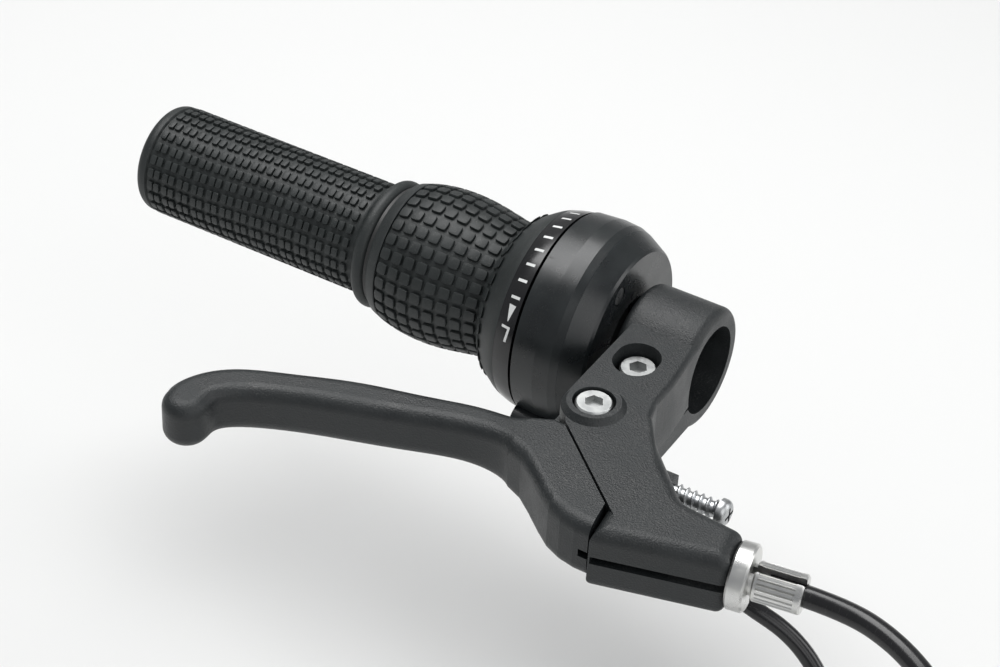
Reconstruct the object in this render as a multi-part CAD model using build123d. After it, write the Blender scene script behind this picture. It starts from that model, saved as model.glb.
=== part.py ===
"""Right-hand bicycle bar control: rubber grip, twist shifter, brake lever and cable outers.

Frame: X runs along the handlebar, +X towards the grip's outer end. +Y is forward, to the
lever's side. +Z is up, along the lever's pivot. The origin is on the bar's axis, in the
brake bracket's clamp, where the clamp bolt and the pivot bolt stand in line.
Lengths are millimetres.
"""
from build123d import *
from math import cos, pi, radians, sin, tan
import os

os.makedirs("parts", exist_ok=True)

# ---- shared sizes -------------------------------------------------------------------
BAR_R = 11.1                 # a 22.2 mm handlebar
CLAMP_BORE_R = BAR_R + 0.05  # what is clamped to the bar
TURN_BORE_R = BAR_R + 0.25   # what turns round the bar
RUN = 0.05                   # radial clearance of a running fit
SEAT = 0.05                  # clearance between pieces that sit on each other

# ---- grips --------------------------------------------------------------------------
GRIP_START = 78.7            # flange face of the fixed grip
GRIP_END = 150.4
GRIP_R = 13.7                # between the studs
GRIP_RIM_R = 14.3            # plain band at the closed end, as high as the studs
GRIP_RIM = 3.8
GRIP_END_WALL = 3.0
GRIP_END_ROUND = 2.6
GRIP_VENT_R = 1.5            # lets the air out when the grip is pushed on
FLANGE_R = 16.8
FLANGE_TOP = 1.9             # its crest, from its face
FLANGE_WIDTH = 5.6
WASHER = 0.9                 # slip washer between the two grips
WASHER_R = 15.8
BARREL_START = 44.6          # waist end of the turning rubber
BARREL_TIP_R = 16.2
BARREL_TOP_R = 18.7
BARREL_TOP_X = 58.5
WAIST_R = 16.7
COLLAR_R = 24.5              # skirt of the turning rubber, where it meets the ring
COLLAR_SKIN = 1.6
TUBE_R = 14.3                # turning sleeve, outside

# ---- shifter ------------------------------------------------------------------------
RING_END = 36.0              # indicator ring, outboard edge
RING_START = 31.0            # indicator ring, inboard edge
RING_FLARE = 1.3             # the ring widens by this towards the housing
RING_R = COLLAR_R + RING_FLARE
RING_WALL = 2.4
HOUSING_END = 30.1
HOUSING_STEP = 0.4           # the housing stands proud of the ring by this
HOUSING_R = RING_R + HOUSING_STEP
HOUSING_WALL = 2.2
CAP_JOINT = 18.0             # seam between the housing and its end cap
CAP_JOINT_R = 25.4
CAP_START = 12.4
CAP_START_R = 22.8
CAP_WALL = 2.6
COLLAR_CLAMP_R = 15.0        # clamp hub of the end cap
SLEEVE_START = 18.6
DETENT_START, DETENT_END = 19.0, 22.0
DETENT_R = 17.6
DETENT_COUNT = 12
DETENT_PITCH = 9.75          # degrees between two positions
NOTCH_R, NOTCH_HEIGHT = 1.5, 18.05
SPOOL_START, SPOOL_END = 23.2, 27.2
SPOOL_LIP_R = 18.0
SPOOL_GROOVE = 1.8           # width of the wire's groove
SPOOL_GROOVE_R = 14.6
SHIFT_WIRE_R = 0.6
WRAP_ANGLE = 250.0           # how far the wire is wound round the spool
NOSE_Y = 20.5                # cable exit, along X
NOSE_R = 5.6
NOSE_START, NOSE_END = 12.4, 30.1
SHIFT_OUTER_R = 2.1
SHIFT_FERRULE_R = 2.7
SHIFT_FERRULE_LENGTH = 9.0
SHIFT_SOCKET = 5.4
FERRULE_IN = NOSE_START + SHIFT_SOCKET
ELBOW_R = 5.0                # bend of the wire in the elbow
GUIDE_REACH = 8.0            # how far the elbow reaches back from the nose
GUIDE_HALF, GUIDE_GAP = 2.1, 0.3

# ---- brake bracket ------------------------------------------------------------------
TOP, BOTTOM = 12.5, -4.0     # flat faces of the bracket
LEVEL = 0.5 * (TOP + BOTTOM) # height of the brake wire and the reach screw
CLAMP_R = 15.4
CLAMP_IN, CLAMP_OUT = -9.4, 10.2
NECK_IN, NECK_OUT = -11.2, 7.5
NECK_FULL_Y = 26.0           # the neck has widened to NECK_IN here
RIM_ROUND = 1.5              # rounding of the neck's and the plate's inboard rim
JAW_FRONT = 28.0
JAW_TOP, JAW_BOTTOM = -5.6, -13.2
BOLT_Y = 19.6                # clamp bolt
BOLT_R = 2.5
BOLT_HEAD_R, BOLT_HEAD = 4.35, 3.6
BOLT_HEAD_TOP = 9.6
BOLT_POCKET_R = 5.3
BOLT_POCKET_LONG = 2.0       # the pocket runs on forward
HEX_KEY = 4.0                # across flats
NUT_KEY, NUT = 8.0, 4.0      # across flats, height
PIVOT_Y = 41.0
BOSS_R, BOSS_TOP = 7.5, 14.0
BOSS_RIM_R = 6.3
PIVOT_HEAD = 2.5
PIVOT_POCKET_R = 5.0
PIVOT_POCKET = 2.8
PIVOT_NUT = 2.6
BUSH_R = 3.5
FORK_BOTTOM, FORK_TOP = 0.0, 8.5   # the gap that the lever's root turns in
FORK_IN = -8.3               # its inboard wall
FORK_OUTLINE = [(-18.9, 63.0), (-18.9, 69.0), (20.0, 69.0)]
NOSE_HALF = 5.7              # half depth of the cable nose
WIRE_SLOT_LOW, WIRE_SLOT_HIGH = LEVEL - 1.1, LEVEL + 0.9
PART_GAP = 0.5               # seam between lever and bracket
SEAM = [(2.6, 49.2), (-18.7, 68.2), (-19.9, 78.0)]

# ---- lever --------------------------------------------------------------------------
ROOT_R = 7.2
ROOT_OUTLINE = [(-15.5, 59.5), (-15.5, 66.5), (0.0, 62.0), (7.2, 54.0)]
ROOT_GAP = 0.3               # above and below the root in the fork
LEVER_LOW = -2.6             # underside of the lever's head
BLADE_LOW, BLADE_HIGH = -1.9, 10.5
BLADE_ROUND = 3.3
RIB_POCKET = 6.0             # depth of the ribbed pocket under the blade
RIB = 1.4
ANCHOR_ARM = 30.9            # pivot to wire anchor
ANCHOR_ANGLE = 109.0         # degrees, at rest
ANCHOR_R, ANCHOR_HALF = 3.4, 5.0
ANCHOR_BORE_R = 1.35
BRAKE_WIRE_R = 0.75
SPRING_R, SPRING_WIRE_R, SPRING_TURNS = 4.9, 0.55, 4
SPRING_POCKET_R = 5.9
SPRING_LEG = 9.8             # from the coil's side to the end of a leg

# ---- reach screw --------------------------------------------------------------------
REACH_Y = 48.3
REACH_R = 1.75
REACH_TIP = -7.9
REACH_BOSS_END = -24.6
REACH_BOSS = 5.6
REACH_UNDER_HEAD = -36.4
REACH_HEAD_R, REACH_HEAD = 3.25, 2.4

# ---- barrel adjuster, along its own axis --------------------------------------------
AXIS_TILT = 9.0              # degrees from the bar, in plan
SEAT_POINT = (-48.0, 64.4, LEVEL)
THREAD_R = 3.5
THREAD_IN = 13.0
RING_HIGH, LOCK_R = 4.1, 7.7
NECK_LONG = 0.8
KNURL_LONG, KNURL_R, KNURL_COUNT = 11.0, 4.5, 24
BRAKE_OUTER_R = 2.5
SOCKET_DEEP = 8.0
ADJUSTER_SLOT = 1.9
WIRE_BORE_R = 1.3


def turned(*profile):
    """A solid of revolution about the bar's axis from (x, radius) points."""
    return revolve(make_face(Polyline(*profile, close=True)), Axis.X)


def rod(start, direction, radius, length):
    """A cylinder from a start point along a direction."""
    return extrude(Plane(origin=start, z_dir=direction) * Circle(radius), length)


def upright(x, y, low, high, radius):
    return rod((x, y, low), (0, 0, 1), radius, high - low)


def along_x(low, high, y, z, radius):
    return rod((low, y, z), (1, 0, 0), radius, high - low)


def block(low, high):
    """A box between two corners."""
    size = [b - a for a, b in zip(low, high)]
    return Pos(*low) * Box(*size, align=(Align.MIN, Align.MIN, Align.MIN))


def prism(points, low, high):
    """A plan outline, straight from one height to another."""
    face = make_face(Polyline(*points, close=True))
    return extrude(Pos(0, 0, low) * face, high - low)


def hexagon(x, y, low, high, across_flats):
    face = RegularPolygon(across_flats / 2, 6, major_radius=False)
    return extrude(Pos(x, y, low) * face, high - low)


# ======================================================================================
# Grips and the turning sleeve
# ======================================================================================
def fixed_grip():
    """Rubber sleeve with a rounded, vented end and a wide soft flange."""
    crest = (GRIP_START + FLANGE_TOP, FLANGE_R)
    foot = (GRIP_START + FLANGE_WIDTH, GRIP_R)
    rim_x, shoulder = GRIP_END - GRIP_RIM, GRIP_END - GRIP_END_ROUND
    profile = [
        Line((GRIP_START, BAR_R), (GRIP_START, FLANGE_R - 1.6)),
        ThreePointArc((GRIP_START, FLANGE_R - 1.6),
                      (GRIP_START + 0.45 * FLANGE_TOP, FLANGE_R - 0.25), crest),
        Spline(crest, foot, tangents=[(1, 0), (1, 0)]),
        Line(foot, (rim_x, GRIP_R)),
        Line((rim_x, GRIP_R), (rim_x + 0.4, GRIP_RIM_R)),
        Line((rim_x + 0.4, GRIP_RIM_R), (shoulder, GRIP_RIM_R)),
        RadiusArc((shoulder, GRIP_RIM_R), (GRIP_END, GRIP_RIM_R - GRIP_END_ROUND),
                  GRIP_END_ROUND),
        Line((GRIP_END, GRIP_RIM_R - GRIP_END_ROUND), (GRIP_END, GRIP_VENT_R)),
        Line((GRIP_END, GRIP_VENT_R), (GRIP_END - GRIP_END_WALL, GRIP_VENT_R)),
        Line((GRIP_END - GRIP_END_WALL, GRIP_VENT_R), (GRIP_END - GRIP_END_WALL, BAR_R)),
        Line((GRIP_END - GRIP_END_WALL, BAR_R), (GRIP_START, BAR_R)),
    ]
    return revolve(make_face(Wire(profile)), Axis.X)


WASHER_X = GRIP_START - SEAT - WASHER
BARREL_END = WASHER_X - SEAT


def grip_washer():
    return turned((WASHER_X, TURN_BORE_R), (WASHER_X, WASHER_R),
                  (WASHER_X + WASHER, WASHER_R), (WASHER_X + WASHER, TURN_BORE_R))


def twist_rubber():
    """Moulded cover of the turning grip: a barrel, a waist and a skirt over the ring."""
    skirt_x = RING_END + SEAT
    inner_r = TUBE_R + SEAT
    flare = COLLAR_R - WAIST_R
    skirt_in = (skirt_x, COLLAR_R - COLLAR_SKIN)
    waist_in = (BARREL_START - 1.2, inner_r)
    profile = [
        Line((BARREL_END, inner_r), (BARREL_END, BARREL_TIP_R)),
        Spline((BARREL_END, BARREL_TIP_R), (BARREL_TOP_X, BARREL_TOP_R),
               (BARREL_START + 1.4, WAIST_R), tangents=[(-1.2, 0.55), (-1, -0.15)]),
        Spline((BARREL_START + 1.4, WAIST_R), (BARREL_START - 1.8, WAIST_R + 0.39 * flare),
               (RING_END + 3.2, WAIST_R + 0.79 * flare), (skirt_x, COLLAR_R),
               tangents=[(-1, 0), (-1, 0.3)]),
        Line((skirt_x, COLLAR_R), skirt_in),
        Line(skirt_in, waist_in),
        Line(waist_in, (BARREL_END, inner_r)),
    ]
    return revolve(make_face(Wire(profile)), Axis.X)


def indicator_ring():
    """Glossy scale ring on the sleeve's flange."""
    inner_r = FLANGE_SEAT_R + SEAT
    profile = [
        Line((RING_START, inner_r), (RING_START, RING_R - 0.2)),
        ThreePointArc((RING_START, RING_R - 0.2), ((RING_START + RING_END) / 2, RING_R - 0.6),
                      (RING_END, COLLAR_R)),
        Line((RING_END, COLLAR_R), (RING_END, inner_r)),
        Line((RING_END, inner_r), (RING_START, inner_r)),
    ]
    return revolve(make_face(Wire(profile)), Axis.X)


FLANGE_SEAT_R = COLLAR_R - RING_WALL
SPOOL_MID = 0.5 * (SPOOL_START + SPOOL_END)


def twist_sleeve():
    """Nylon core of the shifter: grip tube, ring seat, wire spool and click track."""
    groove_in = SPOOL_MID - SPOOL_GROOVE / 2
    groove_out = SPOOL_MID + SPOOL_GROOVE / 2
    body = turned(
        (SLEEVE_START, TURN_BORE_R), (SLEEVE_START, TUBE_R), (DETENT_START, TUBE_R),
        (DETENT_START, DETENT_R), (DETENT_END, DETENT_R), (DETENT_END, TUBE_R + 0.3),
        (SPOOL_START, TUBE_R + 0.3), (SPOOL_START, SPOOL_LIP_R), (groove_in, SPOOL_LIP_R),
        (groove_in, SPOOL_GROOVE_R), (groove_out, SPOOL_GROOVE_R), (groove_out, SPOOL_LIP_R),
        (SPOOL_END, SPOOL_LIP_R), (SPOOL_END + 1.4, TUBE_R + 1.2), (RING_START, TUBE_R + 1.2),
        (RING_START, FLANGE_SEAT_R), (RING_END - 1.0, FLANGE_SEAT_R),
        (RING_END, FLANGE_SEAT_R - 1.4), (BARREL_START - 1.3, TUBE_R), (BARREL_END, TUBE_R),
        (BARREL_END, TURN_BORE_R))
    notch = along_x(DETENT_START - 1, DETENT_END + 0.1, 0, NOTCH_HEIGHT, NOTCH_R)
    for step in range(DETENT_COUNT):
        body -= Rot(X=(step - DETENT_COUNT // 2) * DETENT_PITCH) * notch
    head = Rot(X=NIPPLE_ANGLE) * along_x(SPOOL_MID - 1.7, SPOOL_MID + 1.7, SPOOL_GROOVE_R, 0, 1.7)
    return body - head


WIRE_R = SPOOL_GROOVE_R + SHIFT_WIRE_R + 0.05    # wire centre on the spool
LEAVE_ANGLE = -101.0                             # where the wire leaves the spool
NIPPLE_ANGLE = LEAVE_ANGLE - WRAP_ANGLE


def polar(angle, radius, x=SPOOL_MID):
    return (x, radius * cos(radians(angle)), radius * sin(radians(angle)))


def shift_nipple():
    """Drum end of the shift wire, sunk in the spool."""
    return Rot(X=NIPPLE_ANGLE) * along_x(SPOOL_MID - 1.6, SPOOL_MID + 1.6, SPOOL_GROOVE_R, 0, 1.6)


def shift_wire_wrap():
    """The stretch of wire wound on the spool, from the nipple to where it leaves."""
    start = NIPPLE_ANGLE + 7.0
    sweep_angle = LEAVE_ANGLE - 0.2 - start
    across = Plane(origin=polar(start, WIRE_R), z_dir=polar(start + 90, 1, 0))
    return revolve(across * RegularPolygon(SHIFT_WIRE_R, 8), Axis.X, sweep_angle)


def wire_exit():
    """Corner points of the straight wire: spool, elbow, nose."""
    leave = Vector(*polar(LEAVE_ANGLE, WIRE_R))
    way = Vector(0, -sin(radians(LEAVE_ANGLE)), cos(radians(LEAVE_ANGLE)))
    reach = (NOSE_Y - leave.Y) / way.Y
    corner = leave + way * reach
    return leave, corner, way


def shift_wire_run():
    """Wire from the spool round the elbow and out along the nose."""
    leave, corner, way = wire_exit()
    end = Vector(FERRULE_IN + 0.3, corner.Y, corner.Z)
    path = FilletPolyline(leave, corner, end, radius=ELBOW_R)
    return sweep(Plane(origin=leave, z_dir=way) * RegularPolygon(SHIFT_WIRE_R, 8), path)


# ======================================================================================
# Shifter housing
# ======================================================================================
def nose_solid():
    """The lobe under the front of the housing that the cable leaves from."""
    level = wire_exit()[1].Z
    tube = along_x(NOSE_START, NOSE_END, NOSE_Y, level, NOSE_R)
    root = block((NOSE_START, 0, level - NOSE_R), (NOSE_END, NOSE_Y, level + NOSE_R))
    return tube + root


def shifter_housing():
    """Barrel-shaped cover with the cable nose, open towards the ring."""
    outer = turned((CAP_JOINT, 0), (CAP_JOINT, CAP_JOINT_R), (CAP_JOINT + 2.0, HOUSING_R - 0.1),
                   (CAP_JOINT + 6.0, HOUSING_R + 0.2), (HOUSING_END, HOUSING_R - 0.2),
                   (HOUSING_END, 0))
    nose = nose_solid() & block((CAP_JOINT, 0, -40), (NOSE_END, 40, 0))
    hollow_r = HOUSING_R - HOUSING_WALL
    mouth_r = FLANGE_SEAT_R + 1.0
    lip = HOUSING_END - 1.2
    web = CAP_JOINT + HOUSING_WEB
    hollow = turned((web, 0), (web, hollow_r), (lip, hollow_r), (lip, mouth_r),
                    (HOUSING_END + 1, mouth_r), (HOUSING_END + 1, 0))
    body = outer + nose - hollow
    body -= along_x(CAP_JOINT - 1, web + 1, 0, 0, WEB_BORE_R)
    for y, z in CAP_SCREWS:
        body += along_x(CAP_START + CAP_WALL + SEAT, web, y, z, POST_R)
        body -= along_x(0, web + 1, y, z, CAP_SCREW_R + SEAT)
    body -= guide_space()
    return body + spring_lugs(hollow_r)


def spring_lugs(hollow_r):
    """Two lugs under the housing's roof that the ends of the click spring press on."""
    low = (CAP_JOINT + HOUSING_WEB / 2, LEAF_HALF - 2.0, LEAF_TOP + SEAT)
    high = (DETENT_END, LEAF_HALF + 0.8, hollow_r)
    roof = along_x(low[0], high[0], 0, 0, hollow_r + 0.5)
    lug = block(low, high) & roof
    return lug + mirror(lug, Plane.XZ)


def guide_space():
    """Room for the elbow and the wire inside the nose."""
    level = wire_exit()[1].Z
    half = GUIDE_HALF + GUIDE_GAP
    low = (CAP_JOINT - 0.1, NOSE_Y - GUIDE_REACH - 2.5, level - half)
    high = (SPOOL_MID + half, NOSE_Y + half, level + half)
    return block(low, high)


def housing_cap():
    """Cone-shaped end of the housing with the hub that grips the bar."""
    face = CAP_JOINT - SEAT
    cone = turned((CAP_START, 0), (CAP_START, CAP_START_R - 0.6), (CAP_START + 0.6, CAP_START_R),
                  (face, CAP_JOINT_R), (face, 0))
    level = wire_exit()[1].Z
    nose = nose_solid() & block((CAP_START, 0, -40), (face, 40, 0))
    inside = CAP_START + CAP_WALL
    hollow = turned((inside, COLLAR_CLAMP_R), (inside, CAP_START_R - CAP_WALL + 0.6),
                    (CAP_JOINT + 1, CAP_JOINT_R - CAP_WALL + 0.2), (CAP_JOINT + 1, COLLAR_CLAMP_R))
    body = cone + nose
    body -= hollow - block((0, NOSE_Y - GUIDE_REACH - 2.5, -40), (40, 40, level + 2.5))
    body -= along_x(0, 40, 0, 0, CLAMP_BORE_R)
    body -= along_x(CAP_START - 1, FERRULE_IN, NOSE_Y, level, SHIFT_FERRULE_R + SEAT)
    body -= along_x(CAP_START, CAP_JOINT + 1, NOSE_Y, level, SHIFT_WIRE_R + 0.5)
    for y, z in CAP_SCREWS:
        body -= along_x(CAP_START - 1, CAP_START + 1.6, y, z, CAP_SCREW_HEAD_R + 0.3)
        body -= along_x(CAP_START - 1, CAP_JOINT + 1, y, z, CAP_SCREW_R + SEAT)
    body -= rod((GRUB_X, 0, -BAR_R), (0, 0, -1), GRUB_R + SEAT, 20)
    return body


CAP_SCREW_R, CAP_SCREW_HEAD_R = 1.2, 2.1
CAP_SCREW_CIRCLE = 18.1
CAP_SCREW_ANGLES = (67.7, 187.7, 307.7)
CAP_SCREWS = [(CAP_SCREW_CIRCLE * cos(radians(a)), CAP_SCREW_CIRCLE * sin(radians(a)))
              for a in CAP_SCREW_ANGLES]
POST_R = 2.3                 # posts of the housing that take the screws
HOUSING_WEB, WEB_BORE_R = 0.7, 15.2
GRUB_X, GRUB_R, GRUB_LONG = 15.3, 2.0, 5.0
LEAF_THICK, LEAF_HALF = 0.5, 8.5
CLICK_R = 1.4                # nose of the click spring
CLICK_Z = DETENT_R + CLICK_R - 0.6
LEAF_TOP = CLICK_Z + 0.65


def cap_screws():
    """Three small screws that hold the cap to the housing's posts."""
    screws = []
    slot, slot_half, slot_long = 0.7, 0.3, 1.5
    for y, z in CAP_SCREWS:
        head = along_x(CAP_START + 0.2, CAP_START + 1.6, y, z, CAP_SCREW_HEAD_R)
        head -= block((CAP_START, y - slot_long, z - slot_half),
                      (CAP_START + 0.2 + slot, y + slot_long, z + slot_half))
        head -= block((CAP_START, y - slot_half, z - slot_long),
                      (CAP_START + 0.2 + slot, y + slot_half, z + slot_long))
        screws.append(head + along_x(CAP_START + 1.5, CAP_JOINT + 0.4, y, z, CAP_SCREW_R))
    return Compound(screws)


def grub_screw():
    """Clamps the cap's hub to the bar, from below."""
    screw = rod((GRUB_X, 0, -BAR_R), (0, 0, -1), GRUB_R, GRUB_LONG)
    key = RegularPolygon(1.0, 6, major_radius=False)
    socket = extrude(Plane(origin=(GRUB_X, 0, -BAR_R - GRUB_LONG - 1), z_dir=(0, 0, 1)) * key, 3.2)
    return screw - socket


def detent_spring():
    """Bent leaf with a round nose that clicks over the track."""
    x = DETENT_START + 0.4
    width = DETENT_END - DETENT_START - 0.8
    nose = along_x(x, x + width, 0, CLICK_Z, CLICK_R)
    nose -= along_x(x - 1, x + width + 1, 0, CLICK_Z, CLICK_R - LEAF_THICK)
    nose &= block((x, -CLICK_R, CLICK_Z - 2), (x + width, CLICK_R, CLICK_Z + 0.2))
    low = LEAF_TOP - LEAF_THICK
    arm = block((x, CLICK_R - LEAF_THICK, low), (x + width, LEAF_HALF, LEAF_TOP))
    return nose + arm + mirror(arm, Plane.XZ)


def cable_guide():
    """Nylon elbow that turns the wire along the nose."""
    leave, corner, way = wire_exit()
    low = (CAP_JOINT + GUIDE_GAP, NOSE_Y - GUIDE_REACH - 1.5, corner.Z - GUIDE_HALF)
    high = (SPOOL_MID + GUIDE_HALF, NOSE_Y + GUIDE_HALF, corner.Z + GUIDE_HALF)
    end = Vector(NOSE_START, corner.Y, corner.Z)
    path = FilletPolyline(leave, corner, end, radius=ELBOW_R)
    channel = sweep(Plane(origin=leave, z_dir=way) * Circle(SHIFT_WIRE_R + 0.35), path)
    return block(low, high) - channel


# ======================================================================================
# Brake bracket and its bolts
# ======================================================================================
TILT = radians(AXIS_TILT)
AXIS_OUT = Vector(-cos(TILT), -sin(TILT), 0)     # from the bracket to the brake outer
AXIS_SIDE = Vector(sin(TILT), -cos(TILT), 0)     # across the axis, towards the bar


def axis_point(along, side=0.0):
    """A point along the adjuster's axis from the bracket's nose, and across it."""
    return Vector(*SEAT_POINT) + AXIS_OUT * along + AXIS_SIDE * side


def axis_rod(start, end, radius):
    return rod(axis_point(start), AXIS_OUT, radius, end - start)


def lever_bracket():
    """Moulded bracket: split bar clamp, neck, fork for the lever and cable nose."""
    body = bracket_front() + bracket_clamp()
    boss = revolve(make_face(Polyline((0, BOTTOM), (BOSS_R, BOTTOM), (BOSS_R, TOP),
                                      (BOSS_RIM_R, BOSS_TOP), (0, BOSS_TOP), close=True)
                             ).moved(Rot(X=90)), Axis.Z)
    body += Pos(0, PIVOT_Y, 0) * boss

    body -= along_x(CLAMP_IN - 5, CLAMP_OUT + 5, 0, 0, CLAMP_BORE_R)
    body -= block((-30, 6, JAW_TOP), (30, JAW_FRONT + 0.1, BOTTOM))
    body -= upright(0, BOLT_Y, -30, 30, BOLT_R + 0.25)
    body -= bolt_pocket()
    body -= hexagon(0, BOLT_Y, JAW_BOTTOM - 1, JAW_BOTTOM + NUT + 0.6, NUT_KEY + 0.2)

    back = PIVOT_Y - BOSS_R - 0.6
    fork = [(20, back), (FORK_IN, back), (FORK_IN, REACH_Y + REACH_R + 0.45), *FORK_OUTLINE]
    body -= prism(fork, FORK_BOTTOM, FORK_TOP)
    body -= upright(0, PIVOT_Y, -30, 30, BOLT_R + 0.03)
    body -= upright(0, PIVOT_Y, BOSS_TOP - PIVOT_POCKET, 30, PIVOT_POCKET_R)
    body -= hexagon(0, PIVOT_Y, BOTTOM - 1, BOTTOM + PIVOT_NUT + 0.2, NUT_KEY + 0.2)
    leg_end = PIVOT_Y - SPRING_LEG - 0.3
    body -= rod((-SPRING_R, back + 1, spring_level(SPRING_TURNS - 1)), (0, -1, 0),
                SPRING_WIRE_R + 0.15, back + 1 - leg_end)

    half = REACH_BOSS / 2
    body += block((REACH_BOSS_END, REACH_Y - half, LEVEL - half),
                  (-18.0, REACH_Y + half, LEVEL + half))
    body -= along_x(REACH_BOSS_END - 1, FORK_IN + 0.1, REACH_Y, LEVEL, REACH_R + 0.03)

    body -= axis_rod(-THREAD_IN - 0.5, 1, THREAD_R + 0.03)
    body -= axis_rod(-40, 0, WIRE_BORE_R)
    slot = [axis_point(1, 0), axis_point(-29.5, 0), axis_point(-29.5, -20), axis_point(1, -20)]
    return body - prism([(p.X, p.Y) for p in slot], WIRE_SLOT_LOW, WIRE_SLOT_HIGH)


def bracket_front():
    """The plate that holds the lever's fork and the nose, with its rounded front."""
    nose_back, nose_front = axis_point(0, NOSE_HALF), axis_point(0, -NOSE_HALF)
    plan = [(0, PIVOT_Y - BOSS_R), (NECK_IN, 31.3), (-12.6, 36.4), (-16.0, 41.5), (-31.5, 57.4),
            (nose_back.X, nose_back.Y), (nose_front.X, nose_front.Y), SEAM[2], SEAM[1], SEAM[0],
            (BOSS_R - 0.6, PIVOT_Y)]
    front = prism(plan, BOTTOM, TOP)
    upright_edges = front.edges().filter_by(Axis.Z)
    front = fillet([e for e in upright_edges if e.center().X < -44], 1.8)
    upright_edges = front.edges().filter_by(Axis.Z)
    front = fillet([e for e in upright_edges if abs(e.center().X + 31.5) < 0.1], 6)

    def on_front(edge):
        middle = edge @ 0.5
        return middle.Y > 69.5 or middle.X < -33

    def on_back(edge):
        middle = edge @ 0.5
        return NECK_IN > middle.X > -33 and middle.Y < 62

    front = fillet([e for e in front.faces().sort_by(Axis.Z)[-1].edges() if on_front(e)], 3.4)
    front = fillet([e for e in front.faces().sort_by(Axis.Z)[-1].edges() if on_back(e)], RIM_ROUND)
    return fillet([e for e in front.faces().sort_by(Axis.Z)[0].edges() if on_front(e)], 2.8)


def bracket_neck():
    """Neck that widens in a soft curve from the band to the plate."""
    join_y = 34.0
    flare = Spline((NECK_IN, NECK_FULL_Y), (CLAMP_IN, 4), tangents=[(0, -1), (0, -1)])
    outline = [Line((CLAMP_IN, 4), (CLAMP_IN, 0)), Line((CLAMP_IN, 0), (NECK_OUT, 0)),
               Line((NECK_OUT, 0), (NECK_OUT, PIVOT_Y)),
               Line((NECK_OUT, PIVOT_Y), (NECK_IN, join_y)),
               Line((NECK_IN, join_y), (NECK_IN, NECK_FULL_Y)), flare]
    neck = extrude(Pos(0, 0, BOTTOM) * make_face(Wire(outline)), TOP - BOTTOM)
    rim = [e for e in neck.faces().sort_by(Axis.Z)[-1].edges() if (e @ 0.5).X < CLAMP_IN + 0.1
           and (e @ 0.5).Y > 0.1]
    return fillet(rim, RIM_ROUND)


def bracket_clamp():
    """Neck, split band round the bar and the jaw below the split."""
    neck = bracket_neck()
    band = along_x(CLAMP_IN, CLAMP_OUT, 0, 0, CLAMP_R)
    band = fillet(band.edges().filter_by(GeomType.CIRCLE), 2.2)
    jaw = block((CLAMP_IN, 0, JAW_BOTTOM), (NECK_OUT, JAW_FRONT, 0))
    jaw = fillet(jaw.edges().filter_by(Axis.Z).sort_by(Axis.Y)[-2:], 3.0)
    low = jaw.faces().sort_by(Axis.Z)[0].edges()
    jaw = chamfer([e for e in low if (e @ 0.5).Y > 1], 1.4)
    return neck + band + jaw


def bolt_pocket():
    """Oval recess over the clamp bolt."""
    floor = BOLT_HEAD_TOP - BOLT_HEAD
    front = BOLT_Y + BOLT_POCKET_LONG
    recess = block((-BOLT_POCKET_R, BOLT_Y, floor), (BOLT_POCKET_R, front, 30))
    recess += upright(0, BOLT_Y, floor, 30, BOLT_POCKET_R)
    return recess + upright(0, front, floor, 30, BOLT_POCKET_R)


def spring_level(turn):
    """Height of one of the return spring's turns."""
    return FORK_BOTTOM + SEAT + SPRING_WIRE_R + turn * 2 * SPRING_WIRE_R * 0.95


def socket_bolt(x, y, top, head_r, head, shank_r, bottom):
    bolt = upright(x, y, top - head, top, head_r)
    bolt = chamfer(bolt.edges().sort_by(Axis.Z)[-1], 0.4)
    bolt += upright(x, y, bottom, top - head, shank_r)
    return bolt - hexagon(x, y, top - 0.6 * head, top + 1, HEX_KEY)


def clamp_bolt():
    return socket_bolt(0, BOLT_Y, BOLT_HEAD_TOP, BOLT_HEAD_R, BOLT_HEAD - SEAT, BOLT_R,
                       JAW_BOTTOM + 0.2)


def clamp_nut():
    """Nut held in the jaw."""
    top = JAW_BOTTOM + NUT + 0.6 - SEAT
    nut = hexagon(0, BOLT_Y, top - NUT, top, NUT_KEY)
    return nut - upright(0, BOLT_Y, -30, 30, BOLT_R + RUN)


def pivot_bolt():
    top = BOSS_TOP - PIVOT_POCKET + SEAT + PIVOT_HEAD
    return socket_bolt(0, PIVOT_Y, top, BOLT_HEAD_R, PIVOT_HEAD, BOLT_R, BOTTOM + 0.2)


def pivot_nut():
    top = BOTTOM + PIVOT_NUT + 0.2 - SEAT
    nut = hexagon(0, PIVOT_Y, top - PIVOT_NUT, top, NUT_KEY)
    return nut - upright(0, PIVOT_Y, -30, 30, BOLT_R + RUN)


def pivot_bush():
    """Plain bearing between the pivot bolt and the lever."""
    bush = upright(0, PIVOT_Y, FORK_BOTTOM + 0.1, FORK_TOP - 0.1, BUSH_R)
    return bush - upright(0, PIVOT_Y, -30, 30, BOLT_R + RUN)


def return_spring():
    """Torsion spring round the bush: one leg on the lever, one in the bracket."""
    body = None
    for turn in range(SPRING_TURNS):
        place = Pos(SPRING_R, 0, spring_level(turn)) * Rot(X=90) * Rot(Z=90)
        ring = revolve(place * RegularPolygon(SPRING_WIRE_R, 6), Axis.Z)
        body = ring if body is None else body + ring
    for turn, way in ((0, 1), (SPRING_TURNS - 1, -1)):
        leg = Plane(origin=(-SPRING_R, 0, spring_level(turn)), z_dir=(0, way, 0))
        body += extrude(leg * RegularPolygon(SPRING_WIRE_R * 0.95, 8), SPRING_LEG)
    return Pos(0, PIVOT_Y, 0) * body


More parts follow.
